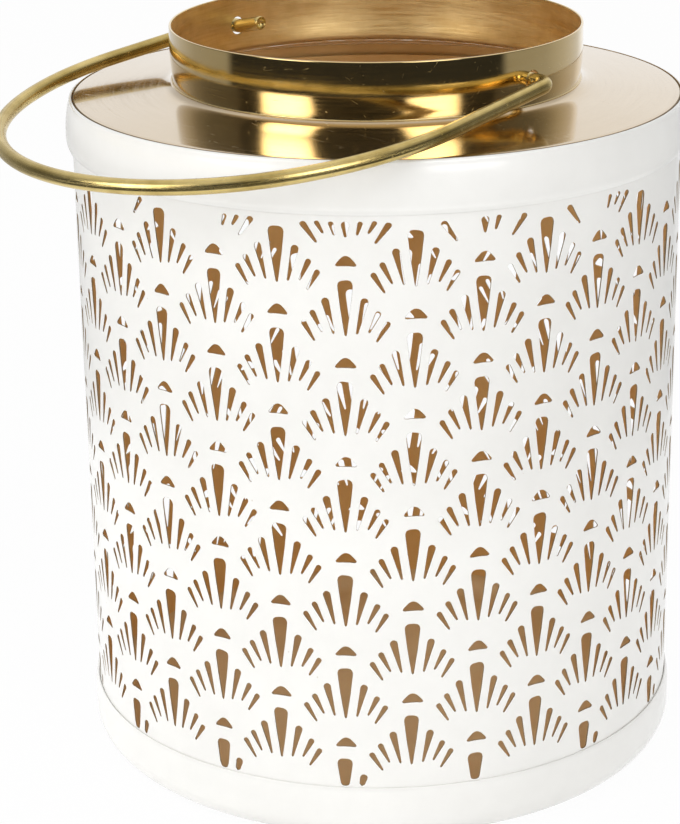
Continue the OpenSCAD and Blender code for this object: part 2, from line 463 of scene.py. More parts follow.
class NodeDesk:
    """A node tree with short ways to fill it."""

    def __init__(self, tree: bpy.types.NodeTree) -> None:
        """Works on a tree."""
        self.tree = tree

    def found(self, kind: str) -> bpy.types.Node:
        """The tree's first node of a kind."""
        return next(node for node in self.tree.nodes if node.type == kind)

    def feed(self, node: bpy.types.Node, values: dict) -> None:
        """Gives a node's inputs their links or values.

        Args:
            node: The node.
            values: A flow or plain value for each input, by name or number.
        """
        for name, value in values.items():
            if isinstance(value, Flow):
                self.tree.links.new(value.socket, node.inputs[name])
            else:
                node.inputs[name].default_value = value

    def add(self, kind: str, values: dict, **settings: object) -> bpy.types.Node:
        """Adds a node.

        Args:
            kind: The node's type.
            values: What its inputs get.
            settings: The node's own settings.

        Returns:
            The node.
        """
        node = self.tree.nodes.new(kind)
        for name, value in settings.items():
            setattr(node, name, value)
        self.feed(node, values)
        return node

    def flow(self, kind: str, values: dict, output: int | str = 0, **settings: object) -> Flow:
        """Adds a node and returns one of its outputs."""
        return Flow(self, self.add(kind, values, **settings).outputs[output])

    def math(self, operation: str, *values: object) -> Flow:
        """Adds a Math node."""
        return self.flow("ShaderNodeMath", dict(enumerate(values)), operation=operation)

    def most(self, *values: object) -> Flow:
        """The highest of some values."""
        return reduce(lambda a, b: self.math("MAXIMUM", a, b), values)

    def ranged(self, value: object, low: float, high: float, out_low: float, out_high: float,
               kind: str = "LINEAR") -> Flow:
        """Maps a value from one range to another, clamped."""
        values = dict(enumerate((value, low, high, out_low, out_high)))
        return self.flow("ShaderNodeMapRange", values, interpolation_type=kind)

    def mixed(self, share: object, a: object, b: object) -> Flow:
        """Mixes two colours by a share."""
        return self.flow("ShaderNodeMix", {0: share, 6: a, 7: b}, 2, data_type="RGBA")

    def ramp(self, value: object, stops: tuple[Place, ...]) -> Flow:
        """Maps a value to greys.

        Args:
            value: The value, from 0 to 1.
            stops: Places and tones, of which the first two become the ramp's own ends.

        Returns:
            The grey.
        """
        node = self.add("ShaderNodeValToRGB", {0: value})
        marks = node.color_ramp.elements
        marks[0].position, marks[1].position = stops[0][0], stops[1][0]
        for place, _ in stops[2:]:
            marks.new(place)
        for mark, (_, tone) in zip(marks, sorted(stops)):
            mark.color = (tone, tone, tone, 1.0)
        return Flow(self, node.outputs[0])

    def noise(self, vector: Flow, scale: object, detail: float = 2.0, roughness: float = 0.5) -> Flow:
        """Adds a Noise Texture and returns its value."""
        values = {"Vector": vector, "Scale": scale, "Detail": detail, "Roughness": roughness}
        return self.flow("ShaderNodeTexNoise", values)

    def joined(self, *values: Flow) -> Flow:
        """Makes a vector of three values."""
        return self.flow("ShaderNodeCombineXYZ", dict(enumerate(values)))

    def parts(self, vector: Flow) -> list[Flow]:
        """The three parts of a vector."""
        return [Flow(self, part) for part in self.add("ShaderNodeSeparateXYZ", {0: vector}).outputs]

    def place(self, kind: str = "Object") -> Flow:
        """The point in the piece's own coordinates, or in the world's generated ones."""
        return self.flow("ShaderNodeTexCoord", {}, kind)

    def radial(self, x: Flow, y: Flow) -> Flow:
        """The distance from the upright axis."""
        return self.math("SQRT", x * x + y * y)

    def bump(self, height: Flow, strength: float, distance: float) -> Flow:
        """Adds a Bump node and returns its normal."""
        return self.flow("ShaderNodeBump", {"Strength": strength, "Distance": distance, "Height": height})


class Effect:
    """A shader node group that is built once and placed in each finish that uses it."""

    name: ClassVar[str]
    inputs: ClassVar[dict[str, float]]
    outputs: ClassVar[tuple[str, ...]] = ("Mask",)

    def build(self, desk: NodeDesk, given: dict[str, Flow]) -> tuple[Flow, ...]:
        """Fills the group.

        Args:
            desk: The group's node tree.
            given: The group's inputs by name.

        Returns:
            The results, in the order of the outputs.
        """
        raise NotImplementedError

    def group(self) -> bpy.types.NodeTree:
        """The effect's group, built at its first use.

        Returns:
            The group.
        """
        tree = bpy.data.node_groups.get(self.name)
        if tree is None:
            tree = bpy.data.node_groups.new(self.name, "ShaderNodeTree")
            for name, value in self.inputs.items():
                socket = tree.interface.new_socket(name=name, in_out="INPUT", socket_type="NodeSocketFloat")
                socket.default_value = value
            for name in self.outputs:
                tree.interface.new_socket(name=name, in_out="OUTPUT", socket_type="NodeSocketFloat")
            desk = NodeDesk(tree)
            given = desk.add("NodeGroupInput", {}).outputs
            results = self.build(desk, {name: Flow(desk, given[name]) for name in self.inputs})
            desk.add("NodeGroupOutput", dict(zip(self.outputs, results)))
        return tree

    def placed(self, desk: NodeDesk, **values: object) -> tuple[Flow, ...]:
        """Places the effect in a finish and returns its outputs, with some inputs set by name."""
        node = desk.add("ShaderNodeGroup", values, node_tree=self.group())
        return tuple(Flow(desk, node.outputs[name]) for name in self.outputs)


class Mottle(Effect):
    """Slow changes of tone over a surface, with a finer cloud in them."""

    name, inputs, outputs = "mottle", {"Size": 0.03}, ("Tone",)

    def build(self, desk: NodeDesk, given: dict[str, Flow]) -> tuple[Flow, ...]:
        """Two noises of different sizes. Args and Returns as in Effect."""
        scale = 1.0 / given["Size"]
        slow, fine = desk.noise(desk.place(), scale), desk.noise(desk.place(), scale * 5.3, 3.0, 0.6)
        return (desk.ranged(slow * 0.7 + fine * 0.3, 0.33, 0.67, 0.0, 1.0),)


class RoundBrushing(Effect):
    """Fine lines that run round the upright axis, as turning and polishing leave them."""

    name, inputs, outputs = "round_brushing", {"Spacing": 0.0006, "Length": 4.0}, ("Lines", "Bands")

    def build(self, desk: NodeDesk, given: dict[str, Flow]) -> tuple[Flow, ...]:
        """Noise that is drawn out round the axis. Args and Returns as in Effect."""
        x, y, z = desk.parts(desk.place())
        radius = desk.radial(x, y)
        across = (radius + z) / given["Spacing"]
        along = [side / radius * given["Length"] for side in (x, y)]
        lines = desk.noise(desk.joined(*along, across), 1.0, 3.0, 0.6)
        return lines, desk.noise(desk.joined(*along, across * 0.16), 1.0, 2.0)


class Hairlines(Effect):
    """Sparse short scratches as thin as a hair, crossing in three directions."""

    name, inputs = "hairlines", {"Size": 0.006, "Width": 0.012}
    turns_and_stretches: ClassVar[tuple[Place, ...]] = ((0.5, 0.10), (-0.9, 0.07), (1.4, 0.12))

    def build(self, desk: NodeDesk, given: dict[str, Flow]) -> tuple[Flow, ...]:
        """The thin zero lines of stretched noise, broken by another. Args and Returns as in Effect."""
        scale = 1.0 / given["Size"]
        masks = []
        for turn, stretch in self.turns_and_stretches:
            way = desk.flow("ShaderNodeMapping", {"Vector": desk.place(), "Rotation": (0.3 * turn, 0.2, turn),
                                                  "Scale": (stretch, 1.0, 1.0)})
            off = desk.math("ABSOLUTE", desk.noise(way, scale, 0.0) - 0.5)
            thin = desk.math("LESS_THAN", off, given["Width"] * 0.16)
            masks.append(thin * desk.ranged(desk.noise(way, scale * 4.0, 1.0), 0.62, 0.66, 0.0, 1.0))
        return (desk.most(*masks),)


class Specks(Effect):
    """Small scattered specks, such as dust, pits and droplets in a lacquer."""

    name, inputs = "specks", {"Spacing": 0.004, "Size": 0.08}

    def build(self, desk: NodeDesk, given: dict[str, Flow]) -> tuple[Flow, ...]:
        """Round cells' middles, of which a part is kept. Args and Returns as in Effect."""
        cells = desk.add("ShaderNodeTexVoronoi", {"Vector": desk.place(), "Scale": 1.0 / given["Spacing"]})
        near = desk.math("LESS_THAN", Flow(desk, cells.outputs["Distance"]), given["Size"])
        return (near * desk.math("GREATER_THAN", desk.parts(Flow(desk, cells.outputs["Color"]))[0], 0.55),)


class Peel(Effect):
    """The soft skin of a baked enamel: long waves and a fine peel."""

    name, inputs, outputs = "enamel_peel", {"Wave": 0.02, "Peel": 0.0016}, ("Height",)

    def build(self, desk: NodeDesk, given: dict[str, Flow]) -> tuple[Flow, ...]:
        """A slow noise with a fine one on it. Args and Returns as in Effect."""
        slow, fine = (desk.noise(desk.place(), 1.0 / given[name], detail)
                      for name, detail in (("Wave", 1.0), ("Peel", 2.0)))
        return (slow + fine * 0.06,)


MOTTLE, BRUSHING, HAIRLINES, SPECKS, PEEL = Mottle(), RoundBrushing(), Hairlines(), Specks(), Peel()


# ---------------------------------------------------------------------------------------------------------
# Finishes


@dataclass(frozen=True)
class Finish:
    """A procedural finish that goes between a light and a darker tone."""

    name: str
    light: Colour
    shade: Colour
    gloss: float
    mottle: float

    def look(self, desk: NodeDesk) -> dict[str, object]:
        """What the shader gets.

        Args:
            desk: The material's node tree.

        Returns:
            A flow or plain value for each of the shader's inputs, by name.
        """
        raise NotImplementedError

    def material(self) -> bpy.types.Material:
        """Builds the material.

        Returns:
            The material.
        """
        material = bpy.data.materials.new(self.name)
        material.use_nodes = True
        desk = NodeDesk(material.node_tree)
        desk.feed(desk.found("BSDF_PRINCIPLED"), self.look(desk))
        return material


@dataclass(frozen=True)
class Enamel(Finish):
    """White baked enamel: a glossy skin with soft waves, faint mottle and a few specks."""

    light: Colour = (0.905, 0.897, 0.868, 1.0)
    shade: Colour = (0.862, 0.853, 0.824, 1.0)
    gloss: float = 0.32
    mottle: float = 0.035
    speck: Colour = (0.62, 0.56, 0.45, 1.0)
    coat: float = 0.8

    def look(self, desk: NodeDesk) -> dict[str, object]:
        """Mottled white with waves in the coat. Args and Returns as in Finish."""
        tone, = MOTTLE.placed(desk, Size=self.mottle)
        specks, = SPECKS.placed(desk, Spacing=0.009, Size=0.03)
        colour = desk.mixed(tone, self.light, self.shade)
        return {"Base Color": desk.mixed(specks * 0.5, colour, self.speck),
                "Roughness": desk.ranged(tone, 0.0, 1.0, self.gloss, self.gloss + 0.10),
                "Coat Weight": self.coat, "Coat Roughness": 0.06,
                "Normal": desk.bump(*PEEL.placed(desk), 0.2, 0.0003)}


@dataclass(frozen=True)
class GoldPaint(Finish):
    """Gold paint on the inside of the white sheets: a soft metallic brown with brush and spray marks."""

    light: Colour = (0.96, 0.71, 0.35, 1.0)
    shade: Colour = (0.85, 0.565, 0.24, 1.0)
    gloss: float = 0.42
    mottle: float = 0.045
    metal: float = 0.35
    grains: float = 900.0

    def look(self, desk: NodeDesk) -> dict[str, object]:
        """A slow mottle with the paint's grain. Args and Returns as in Finish."""
        tone, = MOTTLE.placed(desk, Size=self.mottle)
        fine = desk.noise(desk.place(), self.grains, 3.0, 0.7)
        share = tone * 0.7 + fine * 0.3
        return {"Base Color": desk.mixed(share, self.light, self.shade), "Metallic": self.metal,
                "Roughness": desk.ranged(share, 0.0, 1.0, self.gloss, self.gloss + 0.16),
                "Normal": desk.bump(fine, 0.2, 0.0002)}


@dataclass(frozen=True)
class TurnedBrass(Finish):
    """Lacquered brass sheet that was polished while it turned, with hairlines, specks, a little tarnish and a
    painted sheen in streaks along its brushing.

    Below a given height, where that isn't 0, it darkens to a painted shade, for the shade in the corner at
    the sheet's foot.
    """

    light: Colour = (0.79, 0.59, 0.26, 1.0)
    shade: Colour = (0.68, 0.47, 0.17, 1.0)
    gloss: float = 0.09
    mottle: float = 0.03
    # The painted shade at the sheet's foot, the height where it stops and how softly it fades
    foot_shade: Colour = (0.50, 0.31, 0.13, 1.0)
    foot_shade_top: float = 0.0
    foot_shade_fade: float = 0.0008
    coat: float = 0.7
    brushing: float = 0.12
    spacing: float = 0.0005
    # How far the tarnish and the painted sheen streaks pull the colour towards the shade tone
    tarnish_and_sheen: float = 0.35
    relief: float = 0.00012

    def look(self, desk: NodeDesk) -> dict[str, object]:
        """Round brushing with marks; the colour mixes tarnish with a painted sheen that follows the brushing,
        and darkens to a painted shade at the foot where asked. Args and Returns as in Finish.
        """
        tone, = MOTTLE.placed(desk, Size=self.mottle)
        lines, bands = BRUSHING.placed(desk, Spacing=self.spacing)
        hair, = HAIRLINES.placed(desk)
        specks, = SPECKS.placed(desk, Spacing=0.0045, Size=0.045)
        # Tarnish from the mottle and a painted sheen from the brushing lines and bands, mixed into the colour
        tarnish_and_sheen_share = desk.ranged(tone * 0.3 + (bands * 0.6 + lines * 0.4) * 0.7, 0.3, 0.7, 0.0, self.tarnish_and_sheen)
        colour = desk.mixed(tarnish_and_sheen_share, self.light, self.shade)
        # Painted shade: the colour darkens below the foot's height, for the shade in the corner where the
        # sheet meets the plate
        if self.foot_shade_top:
            foot_shaded = desk.ranged(desk.parts(desk.place())[2] + tone * 0.0007, self.foot_shade_top,
                                self.foot_shade_top + self.foot_shade_fade, 1.0, 0.0, "SMOOTHSTEP")
            colour = desk.mixed(foot_shaded, colour, self.foot_shade)
        rough = desk.ranged(lines, 0.3, 0.7, self.gloss, self.gloss + self.brushing)
        return {"Base Color": colour, "Metallic": 1.0, "Coat Weight": self.coat, "Coat Roughness": 0.04,
                "Roughness": rough + desk.most(hair, specks) * 0.2,
                "Normal": desk.bump(lines * self.brushing + (hair + specks) * -0.08, 0.35, self.relief)}


@dataclass(frozen=True)
class Solder(Finish):
    """Dull silvery solder with a cloudy skin."""

    light: Colour = (0.90, 0.87, 0.78, 1.0)
    shade: Colour = (0.66, 0.60, 0.46, 1.0)
    gloss: float = 0.28
    mottle: float = 0.002

    def look(self, desk: NodeDesk) -> dict[str, object]:
        """Cloudy silver. Args and Returns as in Finish."""
        tone, = MOTTLE.placed(desk, Size=self.mottle)
        return {"Base Color": desk.mixed(tone, self.light, self.shade), "Metallic": 0.6,
                "Roughness": desk.ranged(tone, 0.0, 1.0, self.gloss, 0.5),
                "Normal": desk.bump(tone, 0.3, 0.0001)}


@dataclass(frozen=True)
class DrawnBrass(Finish):
    """Brass rod with the fine lengthwise lines of drawing and the soft sheen of a lacquer."""

    light: Colour = (0.72, 0.56, 0.23, 1.0)
    shade: Colour = (0.46, 0.335, 0.10, 1.0)
    gloss: float = 0.17
    mottle: float = 0.02

    def look(self, desk: NodeDesk) -> dict[str, object]:
        """Lines along the rod, with pits. Args and Returns as in Finish."""
        along, turn, _ = desk.parts(desk.flow("ShaderNodeUVMap", {}, uv_map=ROD_MAP))
        turn = turn * (2.0 * math.pi)
        around = [desk.math(side, turn) * 6.0 for side in ("COSINE", "SINE")]
        lines = desk.noise(desk.joined(along * 9.0, *around), 1.0, 4.0, 0.65)
        tone, = MOTTLE.placed(desk, Size=self.mottle)
        pits, = SPECKS.placed(desk, Spacing=0.0022, Size=0.16)
        share = desk.ranged(tone * 0.5 + lines * 0.5, 0.35, 0.75, 0.0, 1.0)
        rough = desk.ranged(lines, 0.3, 0.7, self.gloss, self.gloss + 0.16)
        return {"Base Color": desk.mixed(share, self.light, self.shade), "Metallic": 1.0,
                "Roughness": rough + pits * 0.15, "Normal": desk.bump(lines - pits * 0.3, 0.4, 0.00015)}


# ---------------------------------------------------------------------------------------------------------
# The pieces


def put_on(piece: bpy.types.Object, part: Part, whole: bool = True) -> None:
    """Lets a piece ride on its body and stand for its CAD node.

    Args:
        piece: The piece.
        part: The part that it shows.
        whole: Whether it stands for the part's CAD node, and isn't only a detail on it.
    """
    node, body, slot = part.value
    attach(piece, body)
    if whole:
        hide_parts(node)
    log.info("%s: %d faces, rides on %s", piece.name, len(piece.data.polygons), body)


@dataclass
class TurnedPiece:
    """A piece that is turned about the upright axis."""

    name: ClassVar[str]
    part: ClassVar[Part]
    around: int = 256
    waver: float = 0.00002
    seed: float = 3.0

    def section(self) -> Section:
        """The piece's section."""
        raise NotImplementedError

    def build(self, *materials: bpy.types.Material) -> None:
        """Makes the piece, with its finishes in the order of their numbers."""
        skin = self.section().turned(self.around, self.waver, self.seed)
        put_on(skin.made(self.name, materials), self.part)


@dataclass
class BasePan(TurnedPiece):
    """The shallow pan: white outside with a rounded foot and a thin rounded rim, gold inside."""

    name = "white_pan"
    part = Part.PAN
    seat: float = 0.09505
    sheet: float = 0.0012
    height: float = HEIGHTS.skirt_top
    corner: float = 0.008
    rim_sheet: float = 0.0005
    taper: float = 0.0045
    hollow: float = 0.00035

    def section(self) -> Section:
        """The pan's section.

        Returns:
            The underside, the outer side with the rim, the inner side and the floor.
        """
        outer, edge = self.seat + self.sheet, self.rim_sheet / 2
        foot, inner_corner = outer - self.corner, self.corner - self.sheet
        low, thinner = self.height - self.taper, self.sheet - self.rim_sheet
        s = Section([(0.0, self.hollow)])
        s.along((foot - 0.012, self.hollow), (foot - 0.004, 0.0), (foot, 0.0))
        s.arc(foot, self.corner, self.corner, -90, 0, 14)
        s.along(*((outer - thinner * t ** 1.8, low + self.taper * t) for t in (i / 8 for i in range(8))))
        s.arc(self.seat + edge, self.height - edge, edge, 0, 180, 8)
        s.along((self.seat, self.corner), finish=1)
        s.arc(self.seat - inner_corner, self.corner, inner_corner, 0, -90, 12, 1)
        s.along((0.0, self.sheet), finish=1)
        return s


@dataclass
class FanLattice:
    """The pierced pattern on the unrolled wall: leaning columns of fans, each with a seed hole under it.

    Petals are numbered from -3 on the left over 0 in the middle to 3 on the right. Odd columns lie half a
    row lower, so the pan and the ring cut their end fans short. Lengths across and down are metres from the
    top of a fan. The tables closed_high, closed_low and drops go by the column's number.
    """

    radius: float
    columns: int = 30
    row: float = 0.03005
    first_top: float = 0.0432
    turn: float = math.radians(1.6)
    lean: float = math.radians(0.7)
    # The heights between which the pan and the ring leave the wall free
    band_low: float = 0.0191
    band_high: float = 0.1955
    # The side petals on either hand of the middle one, from the nearest to the furthest
    tops: tuple[Place, ...] = ((0.0058, 0.0052), (0.0097, 0.0091), (0.0123, 0.0122))
    tips: tuple[Place, ...] = ((0.0033, 0.0158), (0.0066, 0.0154), (0.0088, 0.0181))
    top_widths: tuple[float, ...] = (0.0022, 0.00168, 0.0016)
    tip_width: float = 0.0006
    # The middle petal's right half: shoulder and crown are across in shares of half its width
    middle_width: float = 0.0045
    middle_tip: float = 0.0164
    shoulder: tuple[Place, ...] = ((0.97, 0.0024), (1.0, 0.0015), (0.90, 0.0007))
    crown: tuple[Place, ...] = ((0.68, 0.00022), (0.34, 0.0))
    flank: tuple[Place, ...] = ((0.00155, 0.0079), (0.0009, 0.0122), (0.0003, 0.0161))
    # How far a crown tilts at the most, and how the tilt goes by column and by height
    tilt: float = 0.00008
    tilt_waves: Place = (2.3, 90.0)
    # The foot of a middle petal that the pan cuts: how much narrower it is than the petal, how far over the
    # cut it starts, and its places, across in shares of half its width and up from the cut
    cut_share: float = 0.97
    cut_start: float = 0.0012
    cut_foot: tuple[Place, ...] = ((-1.0, 0.0009), (-0.8, 0.0003), (-0.4, 0.0),
                                   (0.4, 0.0), (0.8, 0.0003), (1.0, 0.0009))
    # The seed hole's right half, and how much of it has to be free
    seed_top: float = 0.02288
    seed_half: tuple[Place, ...] = (
        (0.0006, 0.02298), (0.0012, 0.0233), (0.0020, 0.0241), (0.0027, 0.0249), (0.00305, 0.0254),
        (0.0029, 0.02580), (0.0023, 0.02590), (0.0011, 0.0258))
    seed_free: Place = (0.0227, 0.0257)
    # The least length of a petal that is cut, and how much lower and wider those under the ring are
    least: float = 0.0016
    stub_drop: float = 0.0011
    stub_swell: float = 1.22
    closed_high: dict[int, tuple[int, ...]] = field(default_factory=lambda: {
        1: (-3, -2, -1, 0), 5: (-2, -1, 2), 7: (-2, -1, 0), 9: (-3, -2, -1, 0, 1, 2, 3),
        27: (-3, -2, -1, 0, 1, 2, 3), 29: (-3, -2, -1, 0, 1, 2)})
    closed_low: dict[int, tuple[int, ...]] = field(default_factory=lambda: {5: (1,)})
    drops: dict[int, float] = field(default_factory=lambda: {
        29: -0.0009, 0: -0.0003, 1: -0.0005, 4: 0.0006, 5: 0.0002, 6: 0.0006, 8: 0.0002})
    # How unevenly the holes are punched: their places and their widths
    place_error: float = 0.00004
    width_error: float = 0.018

    def wedge(self, top: Place, tip: Place, top_width: float, tip_width: float) -> Outline:
        """The outline of a wedge with round ends.

        Args:
            top: The place of its wide end.
            tip: The place of its narrow end.
            top_width: Its width at the wide end.
            tip_width: Its width at the narrow end.

        Returns:
            The outline, turning to the left.
        """
        along = Vector((tip[0] - top[0], tip[1] - top[1]))
        length = along.length
        along.normalize()
        across = Vector((along.y, -along.x))
        r1, r2 = min(top_width / 2, 0.45 * length), min(tip_width / 2, 0.45 * length)
        lean = math.asin((r1 - r2) / max(length - r1 - r2, r1))
        out = []
        for centre, r, start, end, steps in (
                (Vector(top) + along * r1, r1, -lean, math.pi + lean, 6),
                (Vector(tip) - along * r2, r2, math.pi + lean, 2 * math.pi - lean, 2)):
            for i in range(steps + 1):
                a = start + (end - start) * i / steps
                out.append(tuple(centre + across * (r * math.cos(a)) - along * (r * math.sin(a))))
        return out

    def middle(self, tilt: float) -> Outline:
        """The outline of a whole middle petal, with a low dome and soft shoulders.

        Args:
            tilt: How far its crown tilts, down on the right.

        Returns:
            The outline, turning to the left.
        """
        half = self.middle_width / 2
        right, left = ([*((hand * half * share, z) for share, z in self.shoulder),
                        *((hand * half * share, z + hand * tilt) for share, z in self.crown)]
                       for hand in (1, -1))
        return [*right, *left[::-1], *((-x, z) for x, z in self.flank), (0.0, self.middle_tip),
                *self.flank[::-1]]

    def seed_hole(self) -> Outline:
        """The outline of the seed hole under a fan."""
        return [(0.0, self.seed_top), *((-x, z) for x, z in self.seed_half), *self.seed_half[::-1]]

    def cut_middle(self, upper: float, lower: float) -> Outline:
        """The outline of a middle petal that is cut short, with round corners.

        Args:
            upper: How far down the free part starts.
            lower: How far down it ends.

        Returns:
            The outline, turning to the left.
        """
        halves, downs = zip((self.middle_width / 2, self.shoulder[1][1]), *self.flank[:2],
                            (self.flank[2][0], self.middle_tip))
        if upper > 0.0:
            width = 2 * float(np.interp(upper, downs, halves))
            return self.wedge((0.0, upper), (0.0, self.middle_tip), width, self.tip_width)
        kept = [place for place in self.middle(0.0) if place[1] < lower - self.cut_start]
        half = float(np.interp(lower, downs, halves)) * self.cut_share
        split = 1 + max(i for i, (x, _) in enumerate(kept) if x < 0.0)
        return [*kept[:split], *((half * share, lower - up) for share, up in self.cut_foot), *kept[split:]]

    def side(self, number: int, upper: float, lower: float) -> Outline:
        """The outline of a side petal, whole where the free part leaves it so.

        Args:
            number: The petal's number.
            upper: How far down the free part starts.
            lower: How far down it ends.

        Returns:
            The outline, turning to the left.
        """
        n, hand = abs(number) - 1, math.copysign(1.0, number)
        (tx, tz), (px, pz), width = self.tops[n], self.tips[n], self.top_widths[n]
        shares = (max(tz, upper) - tz) / (pz - tz), (min(pz, lower) - tz) / (pz - tz)
        ends = ((hand * (tx + (px - tx) * t), tz + (pz - tz) * t) for t in shares)
        return self.wedge(*ends, *(width + (self.tip_width - width) * t for t in shares))

    def fan(self, column: int, top: float) -> list[Outline]:
        """The holes of one fan.

        Args:
            column: The number of its column.
            top: The height of its top.

        Returns:
            Their outlines, across and down from its top.
        """
        upper, lower = top - self.band_high, top - self.band_low
        out = [self.seed_hole()] if upper < self.seed_free[0] and lower > self.seed_free[1] else []
        closed: tuple[int, ...] = ()
        drop, swell = 0.0, 1.0
        if top > self.band_high:
            closed, drop, swell = self.closed_high.get(column, ()), self.stub_drop, self.stub_swell
        elif top < self.first_top - self.row / 4:
            closed = (-3, -2, -1, *self.closed_low.get(column, ()))
        upper, lower = upper - drop, lower - drop
        for number in (0, -3, -2, -1, 1, 2, 3):
            n = abs(number) - 1
            start, end = self.shoulder[1][1], self.middle_tip
            if number:
                start, end = self.tops[n][1], self.tips[n][1]
            if number in closed or min(lower, end) - max(upper, start) <= self.least:
                continue
            if number:
                petal = self.side(number, upper, lower)
            elif upper <= 0.0 and lower >= end:
                phase = column * self.tilt_waves[0] + top * self.tilt_waves[1]
                petal = self.middle(self.tilt * math.sin(phase))
            else:
                petal = self.cut_middle(upper, lower)
            mean = sum(x for x, _ in petal) / len(petal)
            out.append([(mean + (x - mean) * swell, z + drop) for x, z in petal])
        return out

    def outlines(self, seam: Outline) -> list[Outline]:
        """All holes on the unrolled wall, each on the right of the seam.

        Args:
            seam: The seam's places, from low to high.

        Returns:
            Their outlines, each turning to the left.
        """
        chance = random.Random(41)
        round_trip = 2 * math.pi * self.radius
        rows = math.ceil((self.band_high + self.row - self.first_top) * 2 / self.row)
        seam_across, seam_heights = zip(*seam)
        out = []
        for column in range(self.columns):
            for k in range(-(column % 2), rows + 1, 2):
                top = self.first_top + k * self.row / 2 - self.drops.get(column, 0.0)
                lean = math.tan(self.lean) * (top - self.first_top)
                middle = self.radius * (self.turn + 2 * math.pi * column / self.columns) + lean
                for hole in self.fan(column, top):
                    dx, dz = chance.gauss(0, self.place_error), chance.gauss(0, self.place_error)
                    size = 1 + chance.gauss(0, self.width_error)
                    cx, cz = (sum(parts) / len(hole) for parts in zip(*hole))
                    edge = float(np.interp(top - cz, seam_heights, seam_across))
                    shift = math.floor((middle + cx - edge) / round_trip) * round_trip
                    out.append([(middle + cx + (x - cx) * size + dx - shift, top - cz - (z - cz) + dz)
                                for x, z in hole])
        return out


@dataclass
class PiercedWall(RolledSheet):
    """The tall wall: one rolled sheet, enamelled white outside and painted gold inside, pierced with fans."""

    radius: float = 0.09497
    thickness: float = 0.00055
    low: float = 0.0085
    high: float = 0.2040
    edge: float = 0.00016
    cut: int = 2
    edge_turns: tuple[tuple[int, float], ...] = ((0, 45.0), (0, 90.0), (1, 90.0))
    spacing: float = 0.0055
    # The column where the seam lies, how clear of the edges it winds, and its way over half a row, across
    # and up from a fan's top
    seam_column: int = 16
    seam_clear: float = 0.001
    seam_way: tuple[Place, ...] = ((0.0, 0.0018), (0.0043, 0.0032), (0.0050, 0.0052), (0.0083, 0.0080),
                                   (0.0125, 0.0118), (0.0165, 0.0150))

    def seam(self) -> Outline:
        """A seam that winds between the fans, by the same steps from row to row.

        Returns:
            Its places from the lower edge to the upper one.
        """
        lattice = FanLattice(self.radius)
        width, row, lean = 2 * math.pi * self.radius / lattice.columns, lattice.row, math.tan(lattice.lean)
        start = self.radius * (lattice.turn + 2 * math.pi * self.seam_column / lattice.columns)
        way = [*self.seam_way, *((width - u, z + row / 2) for u, z in self.seam_way)]
        places = [(start + u + lean * (z + k * row), lattice.first_top + k * row + z)
                  for k in range(-2, 8) for u, z in way]
        across, heights = zip(*places)
        inside = [p for p in places if self.low + self.seam_clear < p[1] < self.high - self.seam_clear]
        foot, head = ((float(np.interp(z, heights, across)), z) for z in (self.low, self.high))
        return [foot, *inside, head]

    def build(self, *materials: bpy.types.Material) -> None:
        """Makes the wall, with finishes for its outside, its inside and the holes' cut edges."""
        skin = self.rolled(FanLattice(self.radius).outlines(self.seam()), self.spacing)
        put_on(skin.made("fan_wall", materials, own_normals=True), Part.WALL)


@dataclass
class ShoulderRing(TurnedPiece):
    """The slightly swollen white ring with its rolled lip, seated over the top of the wall."""

    name = "white_ring"
    part = Part.RING
    waver: float = 0.00003
    seed: float = 11.0
    seat: float = 0.09505
    sheet: float = 0.0009
    foot: float = HEIGHTS.ring_foot
    lip: float = HEIGHTS.lip
    bulge: float = 0.0009
    spread: float = 0.0002
    lip_radius: float = 0.0010
    lip_turn: float = 18.0
    lip_inner: float = 0.0002
    foot_sheet: float = 0.00045
    shoulder: float = 0.00052
    foot_share: float = 0.22
    shoulder_share: float = 0.5
    swell_share: float = 0.6
    rows: int = 14

    def outer(self, share: float) -> float:
        """The ring's outer radius.

        Args:
            share: The share of its side, from the foot to the lip.

        Returns:
            The radius.
        """
        thinner = (self.sheet - self.foot_sheet) * max(0.0, 1.0 - share / self.foot_share) ** 2
        turn_in = self.shoulder * max(0.0, (share - self.shoulder_share) / (1.0 - self.shoulder_share)) ** 2.5
        swollen = self.bulge * math.sin(math.pi * share ** self.swell_share)
        return self.seat + self.sheet + self.spread * share - thinner - turn_in + swollen

    def section(self) -> Section:
        """The ring's section.

        Returns:
            The foot's edge, the outer side with the lip and the inner side.
        """
        edge, side = self.foot_sheet / 2, self.lip - self.foot - self.lip_radius
        lip = (self.outer(1.0) - self.lip_radius * math.cos(math.radians(self.lip_turn)),
               self.lip - self.lip_radius)
        shares = (i / self.rows for i in range(1, self.rows + 1))
        up = [(self.outer(t), self.foot + side * t) for t in shares if side * t > edge]
        s = Section([(self.seat, self.foot + edge)])
        s.arc(self.seat + edge, self.foot + edge, edge, 180, 360, 8)
        s.along(*up)
        s.arc(*lip, self.lip_radius, self.lip_turn, 90, 8)
        s.arc(*lip, self.lip_inner, 90, 0, 4, 1)
        s.along(*((max(self.seat, r - self.sheet), z) for r, z in up[-2::-1]), finish=1)
        return s


